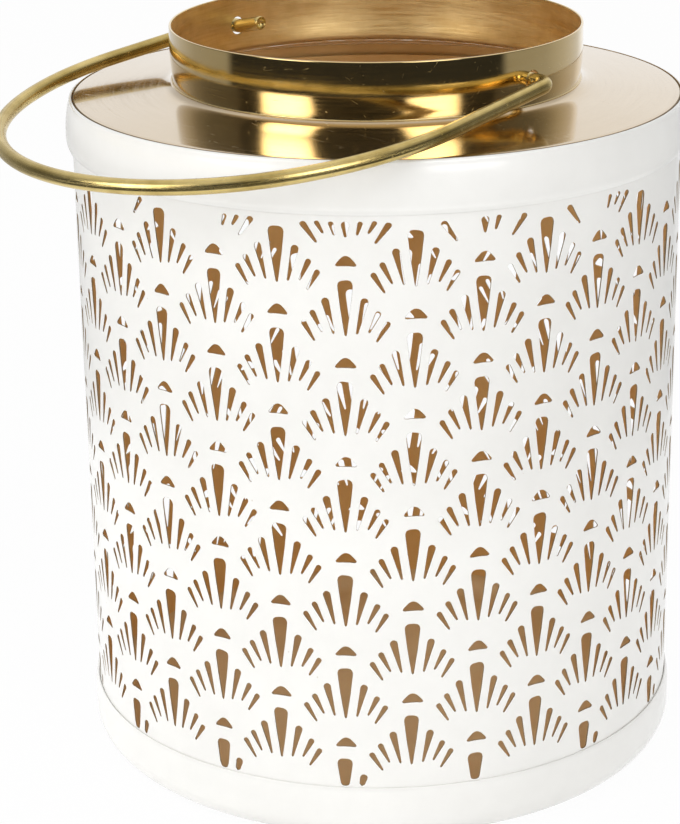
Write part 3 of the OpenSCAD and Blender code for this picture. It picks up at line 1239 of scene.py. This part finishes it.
@dataclass
class TopPlate(TurnedPiece):
    """The shallow brass shoulder, pressed up steeply round the neck and nearly flat towards its edge."""

    name = "brass_plate"
    part = Part.PLATE
    around: int = 288
    waver: float = 0.00005
    seed: float = 5.0
    edge_r: float = 0.09442
    sheet: float = 0.0008
    lip: float = HEIGHTS.lip
    top: float = HEIGHTS.collar_foot
    foot: float = 0.0640
    hole: float = 0.0624
    round_r: float = 0.0006
    flange: float = 0.0048
    step: float = 0.0014
    step_run: float = 0.0016
    rings: int = 40

    def section(self) -> Section:
        """The plate's section.

        Returns:
            The flange's foot, its outer side with the rounded edge, the plate's upper side and its underside.
        """
        end, inner, low = self.edge_r - self.round_r, self.edge_r - self.sheet, self.lip - self.flange
        upper = []
        for i in range(1, self.rings + 1):
            r = end + (self.foot - end) * (1 - (1 - i / self.rings) ** 2)
            step = self.step * (1 - math.exp((self.foot - r) / self.step_run))
            fall = (self.top - self.lip - self.step) * ((r - self.foot) / (end - self.foot))
            upper.append((r, self.top - step - fall))
        s = Section([(inner, low)])
        s.arc(self.edge_r - self.sheet / 2, low, self.sheet / 2, 180, 360, 6)
        # Finish 1, the flange's outer side and its rounded edge, carries the painted shade of the dark line
        # at the plate's rim
        s.along((self.edge_r, self.lip - self.round_r), finish=1)
        s.arc(end, self.lip - self.round_r, self.round_r, 0, 80, 6, 1)
        s.along(*upper, (self.hole, self.top), (self.hole, self.top - self.sheet),
                (self.foot, self.top - self.sheet), *((r, z - self.sheet) for r, z in upper[-2::-1]),
                (inner, self.lip - self.sheet - self.round_r))
        return s


@dataclass
class NeckCollar(RolledSheet):
    """The upright brass band round the mouth, drawn in a little at its foot, with the bail's two holes."""

    radius: float = 0.0640
    thickness: float = 0.0008
    low: float = HEIGHTS.collar_foot - 0.0005
    high: float = HEIGHTS.rim
    edge: float = 0.00033
    spacing: float = 0.0032
    hole: float = 0.0056
    hole_sides: int = 36
    pivot: float = HEIGHTS.pivot
    draw_in: float = 0.0009
    draw_height: float = 0.0095

    def swell(self, z: float) -> float:
        """How far the band stands out from its radius at a height, here below 0 towards its foot."""
        t = min(1.0, max(0.0, (z - HEIGHTS.collar_foot) / self.draw_height))
        return -self.draw_in * (1 - t) ** 1.7

    def build(self, *materials: bpy.types.Material) -> None:
        """Makes the collar.

        Args:
            materials: The finishes of its outside and its inside.
        """
        r = self.hole / 2
        holes = [[(self.radius * azimuth + r * math.cos(a), self.pivot + r * math.sin(a))
                  for a in once_round(self.hole_sides)] for azimuth in (0.5 * math.pi, 1.5 * math.pi)]
        put_on(self.rolled(holes, self.spacing).made("brass_neck", materials, own_normals=True), Part.COLLAR)


@dataclass
class NeckSolder:
    """The soft line of solder in the corner round the collar's foot, and the drops up its seam."""

    foot_r: float = 0.0631
    foot_z: float = HEIGHTS.collar_foot
    inner_r: float = 0.0632
    fillet: float = 0.0005
    gap: float = 0.00006
    # How far the line reaches into the collar and under the plate
    into: Place = (0.0002, 0.0003)
    around: int = 360
    waver: float = 0.00005
    seed: float = 9.0
    drops: int = 13
    first_drop: float = 0.2213
    pitch: float = 0.00092
    least_drop: float = 0.00026
    spread: float = 0.00014
    # The seam's azimuth at the first drop, how far it turns back over a metre of height, and how unevenly
    seam_turn: float = math.radians(133.4)
    seam_lean: float = 4.5
    seam_error: float = 0.0012
    # How much wider and flatter than high a drop is, and its rows from under the collar's side to its top
    shape: Place = (1.4, 0.8)
    lifts: tuple[float, ...] = (-0.6, 0.0, 0.45, 0.8)

    def drop(self, skin: Skin, azimuth: float, z: float, size: float) -> None:
        """Adds a drop of solder on the inside of the collar.

        Args:
            skin: The solder's skin.
            azimuth: Its azimuth in radians.
            z: Its height.
            size: Half of its own height.
        """
        across = Vector((math.cos(azimuth), math.sin(azimuth), 0.0))
        inward = Vector((-math.sin(azimuth), math.cos(azimuth), 0.0))
        centre, rows = on_circle(self.inner_r, azimuth, z), []
        for lift in self.lifts:
            r = math.sqrt(1 - lift * lift)
            rows.append([skin.point(centre + across * (size * r * math.cos(a)) * self.shape[0]
                                    + Vector((0.0, 0.0, size * r * math.sin(a)))
                                    + inward * size * lift * self.shape[1]) for a in once_round(8)])
        for lower, upper in zip(rows, rows[1:]):
            skin.band(lower, upper, 1)
        skin.face(rows[0][::-1], 1)
        skin.face(rows[-1], 1)

    def build(self, *materials: bpy.types.Material) -> None:
        """Makes the solder.

        Args:
            materials: The finishes of the line and of the drops.
        """
        inner, foot = self.foot_r - self.into[0], self.foot_z - self.into[1]
        outer, head = self.foot_r + self.fillet, self.foot_z + self.fillet + self.gap
        s = Section([(inner, foot)])
        s.along((outer, foot), (outer, self.foot_z + self.gap / 2))
        s.arc(outer + self.gap, head, self.fillet, 270, 180, 7)
        s.along((inner, head))
        skin = s.turned(self.around, self.waver, self.seed)
        chance = random.Random(7)
        for i in range(self.drops):
            z = self.first_drop + i * self.pitch
            turn = self.seam_turn - (z - self.first_drop) * self.seam_lean + chance.gauss(0, self.seam_error)
            self.drop(skin, turn, z, self.least_drop + self.spread * chance.random())
        put_on(skin.made("neck_solder", materials), Part.COLLAR, whole=False)


@dataclass
class Bail:
    """The carrying bail: one rod, bent by hand round its two pivots, with sheared and cupped ends.

    Its centre line is drawn flat, across from the middle of the pivots and along from their line, and is
    then laid on its side. A spot of it is a place and the direction in which the line runs there.
    """

    rod: float = 0.0045
    collar: float = 0.064
    tail: float = 0.012
    tail_rise: float = math.radians(12.0)
    tail_straight: float = 0.0016
    gap: float = 0.0067
    bend: float = 0.0045
    flare: float = math.radians(4.0)
    leg: float = 0.044
    side: float = 0.087
    side_turn: float = math.radians(33.6)
    rest_gap: float = 0.0018
    lip_r: float = 0.09475
    lip_round: float = 0.0014
    pivot: float = HEIGHTS.pivot
    sides: int = 28
    # The steps along the centre line where it is straight, softly curved and sharply bent
    steps: tuple[float, ...] = (0.0014, 0.0016, 0.0004)
    # How much thinner the rod is than its size, how uneven it is and in how many waves a metre
    thinner: float = 0.007
    uneven: float = 0.006
    waves: float = 60.0
    # The rows of an end's cup: shares of the rod's radius and how far out they stand
    cup_rows: tuple[Place, ...] = ((0.93, 0.00028), (0.84, 0.00030), (0.76, -0.0001), (0.62, -0.0007),
                                   (0.40, -0.0010), (0.2, -0.0011))
    # How rough the cup is inside its rim, and in how many waves across
    rough: float = 0.0004
    rim_share: float = 0.8
    rough_waves: float = 7.0

    def leg_place(self, along: float) -> Vector:
        """The place of the flared leg's line at a distance from the pivots' line."""
        way = Vector((math.sin(self.flare), math.cos(self.flare)))
        return Vector((self.collar + self.gap, 0.0)) + way * along

    def side_centre(self) -> Vector:
        """The centre of the side's curve."""
        return self.leg_place(self.leg) + Vector((-math.cos(self.flare), math.sin(self.flare))) * self.side

    def straight(self, start: Vector, end: Vector) -> list[Spot]:
        """A straight stretch of the centre line.

        Args:
            start: Where it starts.
            end: Where it ends.

        Returns:
            Its spots, without the last one.
        """
        way = end - start
        count = max(1, math.ceil(way.length / self.steps[0]))
        return [(*(start + way * (i / count)), math.atan2(way.y, way.x)) for i in range(count)]

    def curved(self, centre: Vector, radius: float, start: float, end: float, step: float) -> list[Spot]:
        """A curved stretch of the centre line.

        Args:
            centre: Its centre.
            radius: Its radius.
            start: The angle where it starts, in radians.
            end: The angle where it ends.
            step: The longest step along it.

        Returns:
            Its spots, without the last one.
        """
        count = max(4, math.ceil(abs(end - start) * radius / step))
        angles = [start + (end - start) * i / count for i in range(count)]
        return [(centre.x + radius * math.cos(a), centre.y + radius * math.sin(a), a + math.pi / 2)
                for a in angles]

    def centre_line(self) -> list[Spot]:
        """The rod's centre line.

        Returns:
            Its spots, from the right tail's end to the left one's.
        """
        cut = self.bend * math.tan((math.pi / 2 - self.flare) / 2)
        bend_x = self.collar + self.gap - cut
        side, crown_from = self.side_centre(), self.side_turn - self.flare
        side_end = side + self.side * Vector((math.cos(crown_from), math.sin(crown_from)))
        crown_r = side_end.x / math.cos(crown_from)
        crown = Vector((0.0, side_end.y - crown_r * math.sin(crown_from)))
        _, soft, sharp = self.steps
        half = [*self.straight(Vector((self.collar - self.tail, 0.0)), Vector((bend_x, 0.0))),
                *self.curved(Vector((bend_x, self.bend)), self.bend, -math.pi / 2, -self.flare, sharp),
                *self.straight(self.leg_place(cut), self.leg_place(self.leg)),
                *self.curved(side, self.side, -self.flare, crown_from, soft),
                *self.curved(crown, crown_r, crown_from, math.pi / 2, soft)]
        return [*half, (0.0, crown.y + crown_r, math.pi),
                *((-x, y, math.pi * 2 - a) for x, y, a in reversed(half))]

    def tilt(self) -> float:
        """How far the resting bail dips below the level of its pivots.

        Returns:
            The angle in radians.
        """
        reach, widest = self.lip_r + self.lip_round / 2, self.side_centre().x + self.side
        depth = math.sqrt(reach * reach - widest * widest)
        return math.asin((self.pivot - HEIGHTS.lip - self.rod / 2 - self.rest_gap) / depth)

    def round_rod(self, spot: Spot, radius: float, turn: float, ahead: float = 0.0) -> Vector:
        """A point round the rod.

        Args:
            spot: The spot of the centre line.
            radius: The distance from the line.
            turn: The turn about the line, in radians.
            ahead: How far along the line from the spot.

        Returns:
            The point.
        """
        x, y, a = spot
        # The left tail is bent up inside the collar
        inside = max(0.0, x + self.collar - self.tail_straight) if x < 0 and abs(y) < SAME else 0.0
        along, across = Vector((math.cos(a), math.sin(a), 0.0)), Vector((math.sin(a), -math.cos(a), 0.0))
        return Vector((x, y, -inside * math.tan(self.tail_rise))) + along * ahead \
            + across * (radius * math.cos(turn)) + Vector((0.0, 0.0, radius * math.sin(turn)))

    def cup(self, skin: Skin, spot: Spot, row: list[int], way: int) -> None:
        """Closes an end of the rod with a thin rim round a rough cup.

        Args:
            skin: The bail's skin.
            spot: The end's spot.
            row: The points round the end.
            way: 1 where the line runs out of the end, -1 where it runs into the rod.
        """
        for share, depth in self.cup_rows:
            rough, waves = self.rough if share < self.rim_share else 0.0, share * self.rough_waves
            last, row = row, []
            for a in once_round(self.sides):
                place = Vector((math.cos(a) * waves, math.sin(a) * waves, 4.0))
                ahead = way * (depth + rough * noise.noise(place))
                row.append(skin.point(self.round_rod(spot, self.rod / 2 * share, a, ahead)))
            skin.band(*(row, last)[::way])
        skin.face(row[::-way])

    def build(self, brass: bpy.types.Material) -> None:
        """Makes the bail, with a map along and round its rod for its finish.

        Args:
            brass: The finish.
        """
        line, skin, runs = self.centre_line(), Skin(), [0.0]
        for a, b in zip(line, line[1:]):
            runs.append(runs[-1] + math.dist(a[:2], b[:2]))
        rows: list[list[int]] = []
        for spot, run in zip(line, runs):
            rows.append([])
            for a in once_round(self.sides):
                bump = noise.noise(Vector((run * self.waves, math.cos(a), math.sin(a))))
                radius = self.rod / 2 * (1 - self.thinner + self.uneven * bump)
                rows[-1].append(skin.point(self.round_rod(spot, radius, a)))
        for before, after in zip(rows, rows[1:]):
            skin.band(after, before)
        self.cup(skin, line[0], rows[0], -1)
        self.cup(skin, line[-1], rows[-1], 1)
        laid = Matrix.Translation((0.0, 0.0, self.pivot)) @ Matrix.Rotation(math.pi + self.tilt(), 4, "X")
        skin.points = [laid @ place for place in skin.points]
        piece = skin.made("brass_bail", [brass], crease=50.0)
        runs += [0.0] * (2 * len(self.cup_rows))
        places = np.array([(run, j / self.sides) for run in runs for j in range(self.sides)], np.float32)
        corners = np.zeros(len(piece.data.loops), np.int32)
        piece.data.loops.foreach_get("vertex_index", corners)
        piece.data.uv_layers.new(name=ROD_MAP).data.foreach_set("uv", places[corners].ravel())
        put_on(piece, Part.BAIL)


# ---------------------------------------------------------------------------------------------------------
# The studio


def aim(thing: bpy.types.Object, azimuth: float, elevation: float, distance: float, height: float,
        roll: float = 0.0) -> None:
    """Puts a lamp or the camera in the scene, looking at the upright axis.

    Args:
        thing: The lamp or the camera.
        azimuth: Its azimuth in radians.
        elevation: Its elevation in radians.
        distance: Its distance from the place that it looks at.
        height: The height of that place.
        roll: How far it turns about its own line of sight, in radians.
    """
    way = on_circle(math.cos(elevation), azimuth, math.sin(elevation))
    thing.location = way * distance + Vector((0.0, 0.0, height))
    thing.rotation_mode = "QUATERNION"
    thing.rotation_quaternion = way.to_track_quat("Z", "Y") @ Quaternion((0, 0, 1), roll)
    bpy.context.scene.collection.objects.link(thing)


@dataclass(frozen=True)
class SoftBox:
    """A square lamp with a bright middle and soft edges, by azimuth and elevation in degrees.

    The radiance is how bright its face is, where 1 is a white surface, and in_metal tells whether shiny
    surfaces mirror it.
    """

    name: str
    azimuth: float
    elevation: float
    distance: float
    size: Place
    radiance: float
    in_metal: bool = True
    height: float = 0.15

    def build(self) -> None:
        """Adds the lamp."""
        light = bpy.data.lights.new(self.name, "AREA")
        light.shape = "RECTANGLE"
        light.size, light.size_y = self.size
        light.energy = self.radiance * math.pi * self.size[0] * self.size[1]
        light.use_nodes = True
        desk = NodeDesk(light.node_tree)
        sides = desk.parts(desk.flow("ShaderNodeNewGeometry", {}, "Parametric"))[:2]
        offs = [desk.math("ABSOLUTE", desk.ranged(side, 0.0, 1.0, -1.0, 1.0)) for side in sides]
        across, up = (1.0 - desk.math("POWER", off, 4.0) for off in offs)
        desk.feed(desk.found("EMISSION"), {"Strength": across * up * 1.5})
        lamp = bpy.data.objects.new(self.name, light)
        lamp.visible_glossy = self.in_metal
        aim(lamp, math.radians(self.azimuth), math.radians(self.elevation), self.distance, self.height)


@dataclass(frozen=True)
class TableWhite(Finish):
    """The table's dull white."""

    name: str = "table_white"
    light: Colour = (0.93, 0.93, 0.92, 1.0)
    shade: Colour = (0.91, 0.91, 0.90, 1.0)
    gloss: float = 0.7
    mottle: float = 0.4

    def look(self, desk: NodeDesk) -> dict[str, object]:
        """Mottled white. Args and Returns as in Finish."""
        tone, = MOTTLE.placed(desk, Size=self.mottle)
        return {"Base Color": desk.mixed(tone, self.light, self.shade), "Roughness": self.gloss}


@dataclass
class Studio:
    """The white table and backdrop, two soft boxes in front, and a dark room behind the camera.

    The tones are what metal mirrors of the table and the room, from the back, 0, to the front, 1. The first
    two of each are its ends.
    """

    room_azimuth: float = math.radians(37.8)
    floor_z: float = -0.0002
    rings: tuple[float, ...] = (0.05, 0.12, 0.3, 0.8, 3.0)
    sides: int = 64
    sky: float = 0.54
    table_glow: float = 0.96
    table_tones: tuple[Place, ...] = ((0.0, 1.0), (0.578, 0.34), (0.022, 0.95), (0.067, 0.66), (0.18, 0.53),
                                      (0.33, 0.38), (0.62, 0.03))
    wall_tones: tuple[Place, ...] = ((0.0, 1.0), (0.618, 0.10), (0.03, 0.97), (0.067, 0.70), (0.18, 0.50),
                                     (0.29, 0.26), (0.40, 0.15), (0.64, 0.03))
    lamps: tuple[SoftBox, ...] = (
        SoftBox("soft_box_left", -6.0, 24.0, 1.5, (0.86, 0.86), 3.8),
        SoftBox("soft_box_right", 75.0, 24.0, 1.5, (0.84, 0.86), 3.05),
        SoftBox("soft_box_side", -75.0, 10.0, 1.7, (1.3, 1.3), 1.6, False))

    def mirrored_tone(self, desk: NodeDesk, x: Flow, y: Flow, tones: tuple[Place, ...]) -> Flow:
        """What metal mirrors: the white backdrop behind, grey at the sides and the dark room in front.

        Args:
            desk: The node tree.
            x: The first part of the direction or place.
            y: The second part.
            tones: The tones.

        Returns:
            The tone.
        """
        front = x * math.sin(self.room_azimuth) + y * -math.cos(self.room_azimuth)
        ahead = front / desk.most(desk.radial(x, y), 0.001)
        return desk.ramp(desk.ranged(ahead, -1.0, 1.0, 0.0, 1.0), tones)

    def rays(self, desk: NodeDesk) -> tuple[Flow, Flow]:
        """Tells rays apart.

        Args:
            desk: The node tree.

        Returns:
            1 for the rays that see a surface and don't light it, and 1 for those that are mirrored.
        """
        camera, glossy, through = (desk.flow("ShaderNodeLightPath", {}, f"Is {kind} Ray")
                                   for kind in ("Camera", "Glossy", "Transmission"))
        return desk.most(camera, glossy, through), glossy

    def floor(self) -> None:
        """Adds the table, which the camera sees nearly as white as the backdrop, with the shadow left in."""
        material = TableWhite().material()
        desk = NodeDesk(material.node_tree)
        x, y, _ = desk.parts(desk.place())
        seen, glossy = self.rays(desk)
        mirrored = glossy * desk.ranged(desk.radial(x, y), 0.30, 0.42, 0.0, 1.0, "SMOOTHSTEP")
        colour = desk.mixed(mirrored, WHITE, self.mirrored_tone(desk, x, y, self.table_tones))
        both = desk.flow("ShaderNodeMixShader", {
            0: desk.most(seen * self.table_glow, mirrored),
            1: Flow(desk, desk.found("BSDF_PRINCIPLED").outputs[0]),
            2: desk.flow("ShaderNodeEmission", {"Color": colour})})
        desk.feed(desk.found("OUTPUT_MATERIAL"), {"Surface": both})
        skin = Skin()
        rows = [[skin.point(Vector((0.0, 0.0, self.floor_z)))] * self.sides]
        for r in self.rings:
            rows.append([skin.point(on_circle(r, a, self.floor_z)) for a in once_round(self.sides)])
            skin.band(rows[-1], rows[-2])
        skin.made("table", [material])

    def world(self) -> None:
        """Sets up white where the camera looks, with a dark room mirrored in what faces the camera."""
        world = bpy.data.worlds.new("studio")
        world.use_nodes = True
        bpy.context.scene.world = world
        desk = NodeDesk(world.node_tree)
        x, y, z = desk.parts(desk.place("Generated"))
        seen, glossy = self.rays(desk)
        low = desk.ranged(z, 0.50, 0.80, 1.0, 0.25, "SMOOTHSTEP")
        mirrored = desk.mixed(glossy * low, WHITE, self.mirrored_tone(desk, x, y, self.wall_tones))
        colour = desk.mixed(seen, (self.sky, self.sky, self.sky, 1.0), mirrored)
        desk.feed(desk.found("BACKGROUND"), {"Color": colour, "Strength": 1.0})

    def build(self) -> None:
        """Sets up the table, the world and the lamps."""
        self.floor()
        self.world()
        for lamp in self.lamps:
            lamp.build()
        bpy.context.scene.view_settings.view_transform = "Standard"


@dataclass
class PhotoCamera:
    """The camera that took the photograph, from the fit of the holder's outlines."""

    azimuth: float = math.radians(44.3)
    elevation: float = 0.34558
    distance: float = 0.80108
    target_z: float = 0.10516
    focal_pixels: float = 2451.4
    axis_x: float = 379.5
    width: int = 680
    height: int = 824
    roll: float = -0.0090755

    def build(self) -> None:
        """Sets up the camera."""
        data = bpy.data.cameras.new("photo_camera")
        data.sensor_width = 36.0
        data.sensor_fit = "AUTO"
        data.lens = self.focal_pixels / self.height * data.sensor_width
        data.shift_x = (self.width / 2 - self.axis_x) / self.height
        data.clip_start = 0.01
        camera = bpy.data.objects.new("photo_camera", data)
        aim(camera, self.azimuth, self.elevation, self.distance, self.target_z, self.roll)
        bpy.context.scene.camera = camera


def write_sizes() -> None:
    bpy.context.view_layer.update()


def main() -> None:
    """Builds the camera, the studio and the pieces in order."""
    logging.basicConfig(level=logging.INFO, format="%(name)s: %(message)s")
    PhotoCamera().build()
    Studio().build()
    enamel = Enamel("enamel_white").material()
    paint = GoldPaint("gold_paint").material()
    # A lighter, paler copy of the gold paint for the pan's floor: painted light on the floor that faces up to
    # the mouth
    lit_floor_paint = GoldPaint("gold_paint_floor_lit", light=(0.92, 0.76, 0.49, 1.0), shade=(0.80, 0.62, 0.36, 1.0),
                            metal=0.25).material()
    BasePan().build(enamel, lit_floor_paint)
    # The holes' cut edges are dark bronze: partly the sheet's bare edge, partly painted shade in the holes'
    # narrow rims
    edges = GoldPaint("cut_edge_bronze_and_shade", light=(0.46, 0.34, 0.20, 1.0), shade=(0.20, 0.16, 0.11, 1.0),
                      metal=0.5).material()
    PiercedWall().build(enamel, paint, edges)
    ShoulderRing().build(enamel, paint)
    plate = TurnedBrass("plate_brass_polished", light=(0.65, 0.51, 0.33, 1.0), shade=(0.56, 0.42, 0.25, 1.0))
    # Dark brown on the plate's edge: painted shade for the dark line where the plate meets the ring's lip
    plate_edge_shade = TurnedBrass("plate_brass_edge_shade", light=(0.22, 0.15, 0.07, 1.0), shade=(0.12, 0.08, 0.04, 1.0),
                             coat=0.0, gloss=0.4)
    TopPlate().build(plate.material(), plate_edge_shade.material())
    polished = TurnedBrass("collar_brass_polished", gloss=0.06, brushing=0.10)
    # The brushed inside: its colour carries bright painted sheen streaks along the brushing and a painted
    # shade in the corner at its foot
    brushed = TurnedBrass("collar_brass_brushed", light=(0.93, 0.71, 0.35, 1.0),
                          shade=(0.58, 0.37, 0.13, 1.0), foot_shade_top=0.2167, coat=0.0, gloss=0.30,
                          brushing=0.26, spacing=0.0008, tarnish_and_sheen=1.0, relief=0.0004)
    NeckCollar().build(polished.material(), brushed.material())
    fillet = TurnedBrass("collar_brass_fillet", light=(0.66, 0.51, 0.25, 1.0), coat=0.3, gloss=0.22)
    NeckSolder().build(fillet.material(), Solder("solder_silvery").material())
    Bail().build(DrawnBrass("bail_brass_drawn").material())
    write_sizes()


if __name__ == "__main__":
    main()
